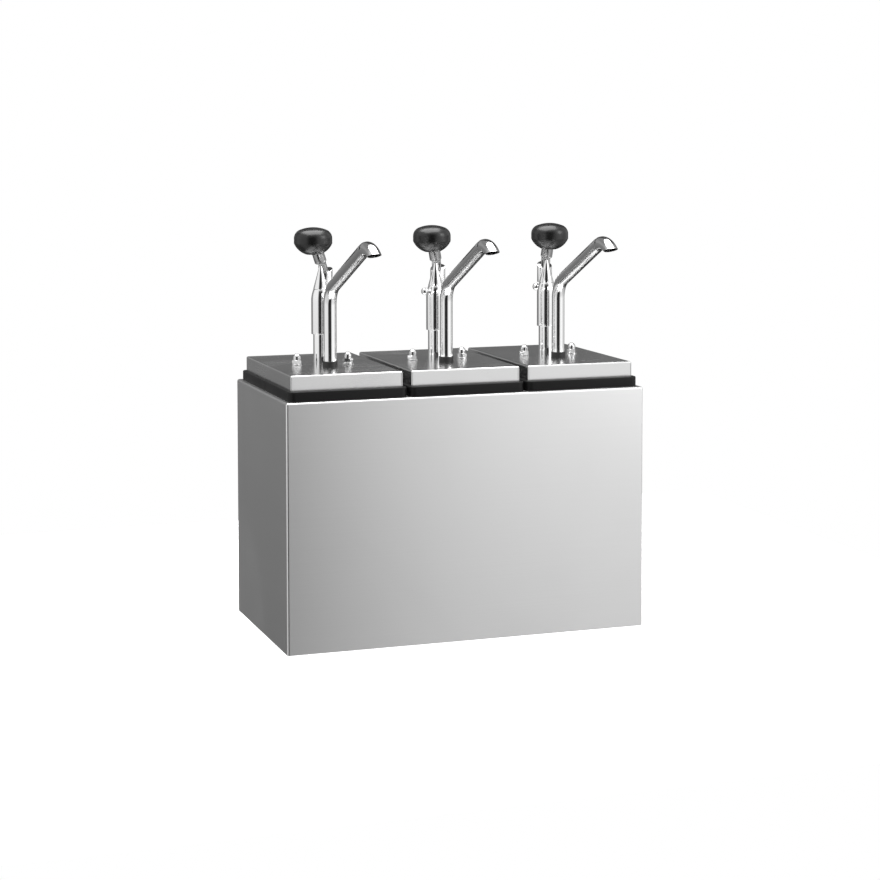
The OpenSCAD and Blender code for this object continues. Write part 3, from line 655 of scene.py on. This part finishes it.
def alongArm(along):
    # the point and heading at a length along the arm
    s, z = spout, nozzle
    slope = math.radians(s["slope"])
    straight = min(along, z["bendStart"])
    y, up = -straight * math.cos(slope), s["bendHeight"] + straight * math.sin(slope)
    turned = max(along - z["bendStart"], 0) / z["bendRadius"]
    last = math.radians(s["slope"] + z["endSlope"])
    beyond = max(turned - last, 0) * z["bendRadius"]
    heading = slope - min(turned, last)
    y -= z["bendRadius"] * (math.sin(slope) - math.sin(heading)) + beyond * math.cos(heading)
    up += z["bendRadius"] * (math.cos(heading) - math.cos(slope)) + beyond * math.sin(heading)
    return pathPoint(y, up, math.degrees(heading))


def makePipe(n):
    s, bow, steps = spout, nozzle["bendStart"], spout["bowSteps"]
    path = riserLine() + [alongArm(bow + (s["pipeEnd"] - bow) * k / steps) for k in range(steps + 1)]
    bm = bmesh.new()
    sweptInto(bm, path, [s["outer"] / 1000] * len(path), [s["bore"] / 1000] * len(path), s["sides"])
    piece = finishedPiece(f"spoutPipe_{n}", bm, riserFrame(n))
    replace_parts(dress(piece, "tubePolish"), f"spout_tube_{n}")
    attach(piece, f"lid_unit_{n}")


def makeNozzle(n):
    s = nozzle
    pipeEnd = spout["pipeEnd"]
    mouth = s["bendStart"] + math.radians(spout["slope"] + s["endSlope"]) * s["bendRadius"]
    # stations along the arm, each (length, outer radius, bore)
    stations = [(s["start"], s["lipOuter"], s["gripBore"]), (s["start"] + s["lip"], s["outer"], s["gripBore"]),
                (pipeEnd, s["outer"], s["gripBore"]), (pipeEnd + s["step"], s["outer"], s["bore"])]
    for k in range(1, s["steps"] + 1):
        part = k / s["steps"]
        stations.append((pipeEnd + s["step"] + (mouth + s["past"] - pipeEnd) * part,
                         s["outer"] + (s["mouthOuter"] - s["outer"]) * part, s["bore"]))
    along, outer, bore = zip(*stations)
    bm = bmesh.new()
    sweptInto(bm, [alongArm(length) for length in along], mm(*outer), mm(*bore), spout["sides"])
    facing = math.radians(s["mouthSlope"])
    cut = bmesh.ops.bisect_plane(bm, geom=bm.verts[:] + bm.edges[:] + bm.faces[:], dist=meshing["joinWithin"],
                                 plane_co=alongArm(mouth)[0], plane_no=(0, -math.cos(facing), -math.sin(facing)),
                                 clear_outer=True)
    rim = [e for e in cut["geom_cut"] if isinstance(e, bmesh.types.BMEdge)]
    bmesh.ops.bridge_loops(bm, edges=rim)
    bmesh.ops.bevel(bm, geom=rim, offset=s["edge"] / 1000, segments=s["edgeSteps"], profile=0.5, affect="EDGES")
    piece = finishedPiece(f"spoutNozzle_{n}", bm, riserFrame(n))
    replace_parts(dress(piece, "tubePolish"), f"spout_nozzle_{n}")
    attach(piece, f"lid_unit_{n}")


# Heights of the housing and the containers are counted from the ground
box = {"w": 400.0, "d": 214.5, "h": 262.0, "sheet": 1.2, "fold": 2.4, "leastFold": 0.3, "lip": 9.5, "foot": 15.0,
       "base": 1.5}


def makeHousing():
    s = box
    sheet, top, floor = s["sheet"], s["h"], s["base"] + s["sheet"]
    # (inset, height) across the folded sheet, from the inner foot over the lip and down the outside
    profile = [(s["foot"], floor, 0.2), (sheet, floor, 0.4), (sheet, top - sheet, 0.6),
               (s["lip"], top - sheet, 0.3), (s["lip"], top, 0.3), (0, top, s["fold"]), (0, 0, 0.5),
               (sheet, 0, 0.3), (sheet, s["base"], 0.2), (s["foot"], s["base"], 0.2)]
    w, d, fold, least = mm(s["w"], s["d"], s["fold"], s["leastFold"])
    bm = bmesh.new()
    walled(bm, [roundedRing(bm, w - 2 * inset, d - 2 * inset, max(fold - inset, least), z)
                for inset, z in softened(profileMm(profile), True)], closed=True)
    piece = finishedPiece("foldedHousing", bm)
    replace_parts(dress(piece, "housingSteel"), "housing")
    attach(piece, "stand")


# Rounds and corners are radii; depth is how far the container hangs below the housing's lip
tub = {"rimW": 128.6, "rimD": 205.5, "rimCorner": 7.0, "rimH": 10.5, "shelf": 6.3, "wall": 2.5, "floor": 3.0,
       "depth": 238.0, "bodyCorner": 12.0, "collarW": 117.8, "collarD": 185.5, "collarH": 7.0,
       "collarCorner": 4.0, "collarTopCorner": 3.6, "collarRound": 0.5, "mouthCorner": 2.5, "edge": 0.9,
       "edgeSteps": 4, "footRound": 3.0, "footMiddle": 0.8, "mouthStep": 0.2, "sharpFrom": 32}


def tubLoops():
    # the outside, rim, collar and inside of a container as one run of rounded rectangles: w, d, corner, z
    s = tub
    lipTop, wall, edge, rimCorner, corner = box["h"], s["wall"], s["edge"], s["rimCorner"], s["bodyCorner"]
    low, rimTop = lipTop - s["depth"], lipTop + s["rimH"]
    under, collarTop, floor = rimTop - wall, rimTop + s["collarH"], low + s["floor"]
    rim, collar = (s["rimW"], s["rimD"]), (s["collarW"], s["collarD"])
    body = (s["rimW"] - 2 * s["shelf"], s["rimD"] - 2 * s["shelf"])
    foot, middle = s["footRound"], s["footMiddle"]
    loops = [(body, foot, corner - foot, low), (body, middle, corner - middle, low + middle),
             (body, 0, corner, low + foot), (body, 0, corner, under), (rim, wall, rimCorner - wall, under),
             (rim, wall, rimCorner - wall, lipTop), (rim, 0, rimCorner, lipTop)]
    for k in range(s["edgeSteps"] + 1):
        a = math.pi / 2 * k / s["edgeSteps"]
        loops.append((rim, edge * (1 - math.cos(a)), rimCorner, rimTop - edge * (1 - math.sin(a))))
    loops += [(collar, 0, s["collarCorner"], rimTop),
              (collar, 0, s["collarCorner"], collarTop - s["collarRound"]),
              (collar, s["collarRound"], s["collarTopCorner"], collarTop),
              (collar, wall, s["mouthCorner"], collarTop), (collar, wall, s["mouthCorner"], under),
              (body, wall, corner - wall, under - s["mouthStep"]), (body, wall, corner - wall, floor + foot),
              (body, wall + foot, corner - wall - foot, floor)]
    return [(w - 2 * inset, d - 2 * inset, r, z) for (w, d), inset, r, z in loops]


def makeContainer(n):
    bm = bmesh.new()
    walled(bm, [roundedRing(bm, *mm(*loop)) for loop in tubLoops()], capped=True)
    piece = finishedPiece(f"rimmedContainer_{n}", bm, Matrix.Translation((pumpX(n), 0, 0)), tub["sharpFrom"])
    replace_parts(dress(piece, "rimPlastic"), f"container_{n}")
    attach(piece, f"container_unit_{n}")


gland = {"bore": 7.05, "sleeve": 8.15, "low": -3.5, "outer": 7.9, "top": 6.2, "round": 0.7, "leadIn": (0.25, 0.4),
         "sides": 56}


def makeGland(n):
    s = gland
    wider, deeper = s["leadIn"]
    profile = [(s["bore"], s["low"], 0), (s["sleeve"], s["low"], 0), (s["sleeve"], 0, 0), (s["outer"], 0, 0),
               (s["outer"], s["top"], s["round"]), (s["bore"] + wider, s["top"], 0.2),
               (s["bore"], s["top"] - deeper, 0)]
    place = pumpFrame(n) @ Matrix.Translation((0, -stand["riserFront"], 0))
    piece = turnedPiece(f"glandRing_{n}", profileMm(profile), place, s["sides"], closed=True)
    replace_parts(dress(piece, "glandRubber"), f"gland_bush_{n}")
    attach(piece, f"lid_unit_{n}")


def closedShape(tree, out, geometry, finish):
    # Ends a geometry tree: what it grew becomes one mesh with a finish on it
    realize = tree.nodes.new("GeometryNodeRealizeInstances")
    paint = tree.nodes.new("GeometryNodeSetMaterial")
    paint.inputs["Material"].default_value = finishes[finish]
    tree.links.new(geometry, realize.inputs[0])
    tree.links.new(realize.outputs[0], paint.inputs["Geometry"])
    tree.links.new(paint.outputs[0], out.inputs[0])


def grown(name, tree, values):
    # Runs a shape tree with its values on a fresh object and keeps only the plain mesh
    source = bpy.data.objects.new(name + "Source", bpy.data.meshes.new(name + "Source"))
    bpy.context.scene.collection.objects.link(source)
    modifier = source.modifiers.new("shape", "NODES")
    modifier.node_group = tree
    sockets = {item.name: item.identifier for item in tree.interface.items_tree if item.in_out == "INPUT"}
    for label, value in values.items():
        modifier[sockets[label]] = value
    bpy.context.view_layer.update()
    mesh = bpy.data.meshes.new_from_object(source.evaluated_get(bpy.context.evaluated_depsgraph_get()))
    source.modifiers.clear()
    bpy.data.objects.remove(source)
    piece = bpy.data.objects.new(name, mesh)
    mesh.name = name
    bpy.context.scene.collection.objects.link(piece)
    return piece


# side is half the distance between the pair, front how far it stands before the axis. turn is the most that a
# nut is turned, in radians. hexCut is how far the turned-off ends stand out from the flats, at cutSlope degrees
nut = {"flats": 10.0, "hexHeight": 4.3, "hexCut": 0.05, "cutSlope": 30, "hexSides": 96, "dome": 4.4,
       "domeSteps": 12, "domeSkirt": 0.05, "domeSunk": 0.3, "top": 11.0, "washer": 6.0, "washerHeight": 1.1,
       "washerLow": 0.02, "washerHole": 3.5, "washerSides": 48, "side": 28.5, "front": 5.2, "turn": 0.9,
       "seed": 3, "sharpFrom": 25}


def buildNutShape():
    # One dome nut on its washer; the hexagon's corners are turned off at both ends as on a real nut
    s = nut
    low, top = s["washerHeight"], s["washerHeight"] + s["hexHeight"]
    bm = bmesh.new()
    washer = [(0, s["washerLow"], 0), (s["washer"], s["washerLow"], 0.15), (s["washer"], low, 0.3),
              (s["washerHole"], low, 0), (0, low, 0)]
    turnedInto(bm, softened(profileMm(washer)), s["washerSides"])
    flat, sixth = s["flats"] / 2, math.pi / 3
    rings = []
    for z, inward, whole in ((low, 0, False), (low, 1, True), (top, -1, True), (top, 0, False)):
        ring = []
        for a in angles(s["hexSides"]):
            hexRadius = flat / math.cos((a + sixth / 2) % sixth - sixth / 2)
            depth = max(hexRadius - flat - s["hexCut"], 0) * math.tan(math.radians(s["cutSlope"]))
            radius = hexRadius if whole else min(hexRadius, flat + s["hexCut"])
            ring.append(bm.verts.new(mm(radius * math.cos(a), radius * math.sin(a), z + inward * depth)))
        rings.append(ring)
    walled(bm, rings)
    bm.faces.new(list(reversed(rings[0])))
    straight = s["washerHeight"] + s["top"] - s["dome"]
    skirt = s["dome"] + s["domeSkirt"]
    dome = [(0, top - s["domeSunk"]), (skirt, top - s["domeSunk"]), (s["dome"], top + s["domeSunk"])]
    for k in range(s["domeSteps"]):
        a = math.pi / 2 * k / s["domeSteps"]
        dome.append((s["dome"] * math.cos(a), straight + s["dome"] * math.sin(a)))
    dome.append((0, straight + s["dome"]))
    turnedInto(bm, profileMm(dome), s["hexSides"])
    bm.faces.new(rings[-1])
    return finishedPiece("domeNutShape", bm, sharpFrom=s["sharpFrom"])


def buildNutTree():
    # Inputs: the nut, half the distance between the pair, the most that each nut is turned, and the draw's seed
    inputs = {"Geometry": "Geometry", "Nut": "Object", "Side": "Float", "Turn": "Float", "Seed": "Int"}
    tree, inp, out = newGroup("capNutPair", "GeometryNodeTree", inputs, {"Geometry": "Geometry"})
    link = tree.links.new
    start, end = tree.nodes.new("ShaderNodeCombineXYZ"), tree.nodes.new("ShaderNodeCombineXYZ")
    link(mathNode(tree, "MULTIPLY", inp.outputs["Side"], -1.0), start.inputs[0])
    link(inp.outputs["Side"], end.inputs[0])
    line = tree.nodes.new("GeometryNodeMeshLine")
    line.mode = "END_POINTS"
    line.inputs["Count"].default_value = 2
    link(start.outputs[0], line.inputs["Start Location"])
    # with two end points the second socket is the end's place
    link(end.outputs[0], line.inputs["Offset"])
    info = tree.nodes.new("GeometryNodeObjectInfo")
    link(inp.outputs["Nut"], info.inputs["Object"])
    turn = tree.nodes.new("FunctionNodeRandomValue")
    turn.data_type = "FLOAT"
    link(inp.outputs["Seed"], turn.inputs["Seed"])
    angle = tree.nodes.new("ShaderNodeCombineXYZ")
    link(mathNode(tree, "MULTIPLY", turn.outputs[1], inp.outputs["Turn"]), angle.inputs[2])
    place = tree.nodes.new("GeometryNodeInstanceOnPoints")
    link(line.outputs[0], place.inputs["Points"])
    link(info.outputs["Geometry"], place.inputs["Instance"])
    link(angle.outputs[0], place.inputs["Rotation"])
    closedShape(tree, out, place.outputs[0], "nutSteel")
    return tree


def makeCapNuts(n, tree, shape):
    s = nut
    piece = grown(f"domeNuts_{n}", tree, {"Nut": shape, "Side": s["side"] / 1000, "Turn": s["turn"],
                                          "Seed": s["seed"] + n})
    piece.data.transform(pumpFrame(n) @ Matrix.Translation(mm(0, -s["front"], 0)))
    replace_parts(piece, f"cap_nuts_{n}")
    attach(piece, f"lid_unit_{n}")


# pressed is how much shorter the spring is at the end of the stroke
coil = {"turns": 12.0, "radius": 6.2, "wire": 0.7, "low": -3.2, "high": 67.7, "pressed": 26.0, "perTurn": 28,
        "wireSides": 12}


def buildCoilTree():
    # A wire of one thickness wound on a straight helix, its ends closed
    inputs = {"Geometry": "Geometry", "Turns": "Float", "Radius": "Float", "Height": "Float", "Wire": "Float"}
    tree, inp, out = newGroup("coiledWire", "GeometryNodeTree", inputs, {"Geometry": "Geometry"})
    link = tree.links.new
    spiral = tree.nodes.new("GeometryNodeCurveSpiral")
    spiral.inputs["Resolution"].default_value = coil["perTurn"]
    link(inp.outputs["Turns"], spiral.inputs["Rotations"])
    link(inp.outputs["Radius"], spiral.inputs["Start Radius"])
    link(inp.outputs["Radius"], spiral.inputs["End Radius"])
    link(inp.outputs["Height"], spiral.inputs["Height"])
    circle = tree.nodes.new("GeometryNodeCurvePrimitiveCircle")
    circle.inputs["Resolution"].default_value = coil["wireSides"]
    link(inp.outputs["Wire"], circle.inputs["Radius"])
    wire = tree.nodes.new("GeometryNodeCurveToMesh")
    wire.inputs["Fill Caps"].default_value = True
    link(spiral.outputs[0], wire.inputs["Curve"])
    link(circle.outputs[0], wire.inputs["Profile Curve"])
    closedShape(tree, out, wire.outputs[0], "springSteel")
    return tree


def makeSpring(n, tree):
    s = coil
    length = s["high"] - s["low"]
    radius, wire, height = mm(s["radius"], s["wire"], length - 2 * s["wire"])
    piece = grown(f"coilSpring_{n}", tree, {"Turns": s["turns"], "Radius": radius, "Wire": wire, "Height": height})
    piece.data.transform(pumpFrame(n) @ Matrix.Translation(mm(0, 0, s["low"] + s["wire"])))
    piece.data.shade_smooth()
    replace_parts(piece, f"return_spring_{n}")
    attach(piece, f"lid_unit_{n}")
    anchor = pumpFrame(n) @ Vector(mm(0, 0, s["low"]))
    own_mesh(piece)


makeHousing()
print("housing folded")
nutTree, nutShape, coilTree = buildNutTree(), buildNutShape(), buildCoilTree()
for n in pumps:
    for make in (makeContainer, makeGland, makeGuideTube, makeSleeve, makeNose, makeNeck, makeKnob, makePin,
                 makePipe, makeNozzle):
        make(n)
    makeCapNuts(n, nutTree, nutShape)
    makeSpring(n, coilTree)
    print(f"pump {n} built")
bpy.data.objects.remove(nutShape)

# Camera where the photograph was taken from; angles are radians, place, near and far metres
view = {"place": (-0.74854, -2.17778, 0.55792), "down": 0.05677, "turned": 0.33267, "roll": 0.00142,
        "lens": 85.91255, "shift": -0.235, "near": 0.05, "far": 50}
camera = bpy.data.cameras.new("photoCamera")
camera.lens = view["lens"]
camera.shift_y = view["shift"]
camera.clip_start, camera.clip_end = view["near"], view["far"]
cameraObject = bpy.data.objects.new("photoCamera", camera)
cameraObject.matrix_world = (Matrix.Translation(view["place"]) @ Matrix.Rotation(-view["turned"], 4, "Z")
                             @ Matrix.Rotation(math.pi / 2 - view["down"], 4, "X")
                             @ Matrix.Rotation(-view["roll"], 4, "Z"))
bpy.context.scene.collection.objects.link(cameraObject)
bpy.context.scene.camera = cameraObject
bpy.context.scene.view_settings.view_transform = "Standard"

# Each pair runs from where a change starts to where it ends: headings in radians from the front, to the right
# positive, and heights as the z of a direction. Two more numbers are the values at either end
studio = {
    "openingLeft": (-1.0, -0.68), "openingRight": (0.02, 0.28), "openingTop": (0.45, 0.75), "openingDepth": 0.97,
    "behindRight": (1.9, 2.4), "behindLeft": (-2.5, -2.0), "behindLeftDepth": 0.84, "behindTop": (0.82, 0.96),
    "behindDepth": 0.92, "belowTop": (-0.72, -0.5), "belowBack": (0.1, 0.4), "belowDepth": 0.92,
    "stripLow": (0.0, 0.05), "stripTop": (0.26, 0.4), "stripLight": 0.09, "dimLow": (-0.5, 0.12, 0.72, 1.0),
    "brightRight": (0.1, 0.6), "brightEnd": (0.85, 1.5, 1.0, 0.62), "level": 1.08, "rightLevel": 1.32,
}


def buildStudio():
    # White all round for the camera. What shines sees a white studio with a dark opening in front and dim walls
    s = studio
    world = bpy.data.worlds.new("studio")
    bpy.context.scene.world = world
    world.use_nodes = True
    tree = world.node_tree
    tree.nodes.clear()

    def times(a, b):
        return mathNode(tree, "MULTIPLY", a, b)

    def rising(value, key):
        return mapped(tree, value, *s[key])

    def falling(value, key):
        return mapped(tree, value, *s[key], 1.0, 0.0)

    out = tree.nodes.new("ShaderNodeOutputWorld")
    background = tree.nodes.new("ShaderNodeBackground")
    coords = tree.nodes.new("ShaderNodeTexCoord")
    axes = tree.nodes.new("ShaderNodeSeparateXYZ")
    tree.links.new(coords.outputs["Generated"], axes.inputs[0])
    x, y, z = axes.outputs
    heading = mathNode(tree, "ARCTAN2", x, times(y, -1.0))
    opening = times(rising(heading, "openingLeft"), falling(heading, "openingRight"))
    opening = times(opening, falling(z, "openingTop"))
    left = times(falling(heading, "behindLeft"), s["behindLeftDepth"])
    behind = times(mathNode(tree, "MAXIMUM", rising(heading, "behindRight"), left), falling(z, "behindTop"))
    # a paler strip just above the horizon behind is what the lids mirror
    strip = times(times(rising(z, "stripLow"), falling(z, "stripTop")), s["stripLight"])
    behind = times(behind, mathNode(tree, "SUBTRACT", s["behindDepth"], strip))
    # the counter's far side, low behind, lies in deeper shade
    below = times(times(falling(z, "belowTop"), rising(y, "belowBack")), s["belowDepth"])
    behind = mathNode(tree, "MAXIMUM", behind, below)
    shade = mathNode(tree, "MAXIMUM", times(opening, s["openingDepth"]), behind)
    bright = mapped(tree, heading, *s["brightRight"], s["level"], s["rightLevel"])
    bright = times(bright, rising(heading, "brightEnd"))
    level = times(times(mathNode(tree, "SUBTRACT", 1.0, shade), bright), rising(z, "dimLow"))
    mix = tree.nodes.new("ShaderNodeMix")
    reflected, seen, result = mixNumbers
    tree.links.new(tree.nodes.new("ShaderNodeLightPath").outputs["Is Camera Ray"], mix.inputs[0])
    tree.links.new(level, mix.inputs[reflected])
    mix.inputs[seen].default_value = 1.0
    tree.links.new(mix.outputs[result], background.inputs["Color"])
    tree.links.new(background.outputs[0], out.inputs[0])


# The floor and the softboxes are in metres
floor = {"reach": 0.62, "segments": 8, "height": -0.0002, "colour": grey(0.8), "glow": 0.55}


def buildFloor():
    bm = bmesh.new()
    bmesh.ops.create_grid(bm, x_segments=floor["segments"], y_segments=floor["segments"], size=floor["reach"])
    piece = finishedPiece("paleFloor", bm, Matrix.Translation((0, 0, floor["height"])))
    material = bpy.data.materials.new("paleFloor")
    material.use_nodes = True
    tree = material.node_tree
    tree.nodes.clear()
    out = tree.nodes.new("ShaderNodeOutputMaterial")
    matt = tree.nodes.new("ShaderNodeBsdfDiffuse")
    matt.inputs[0].default_value = (*floor["colour"], 1)
    glow = tree.nodes.new("ShaderNodeEmission")
    path = tree.nodes.new("ShaderNodeLightPath")
    seen = mathNode(tree, "MULTIPLY", path.outputs["Is Camera Ray"], floor["glow"])
    tree.links.new(seen, glow.inputs["Strength"])
    add = tree.nodes.new("ShaderNodeAddShader")
    tree.links.new(matt.outputs[0], add.inputs[0])
    tree.links.new(glow.outputs[0], add.inputs[1])
    # what shines sees the studio's lower half in the floor's place
    mirrored = tree.nodes.new("ShaderNodeMixShader")
    tree.links.new(path.outputs["Is Glossy Ray"], mirrored.inputs[0])
    tree.links.new(add.outputs[0], mirrored.inputs[1])
    tree.links.new(tree.nodes.new("ShaderNodeBsdfTransparent").outputs[0], mirrored.inputs[2])
    tree.links.new(mirrored.outputs[0], out.inputs[0])
    piece.data.materials.append(material)


softboxes = {
    "topBox": {"place": (-0.15, 0.08, 1.5), "target": (-0.15, 0.08, 0.3), "size": (1.5, 1.4), "power": 36},
    "rightBox": {"place": (1.7, -1.5, 1.2), "target": (0, 0, 0.25), "size": (0.8, 1.2), "power": 16},
}


def buildSoftbox(name, place, target, size, power):
    lamp = bpy.data.lights.new(name, "AREA")
    lamp.shape = "RECTANGLE"
    lamp.size, lamp.size_y = size
    lamp.energy = power
    lampObject = bpy.data.objects.new(name, lamp)
    aim = (Vector(target) - Vector(place)).to_track_quat("-Z", "Y")
    lampObject.matrix_world = Matrix.Translation(place) @ aim.to_matrix().to_4x4()
    bpy.context.scene.collection.objects.link(lampObject)


buildStudio()
buildFloor()
for name, values in softboxes.items():
    buildSoftbox(name, **values)
print("studio ready")
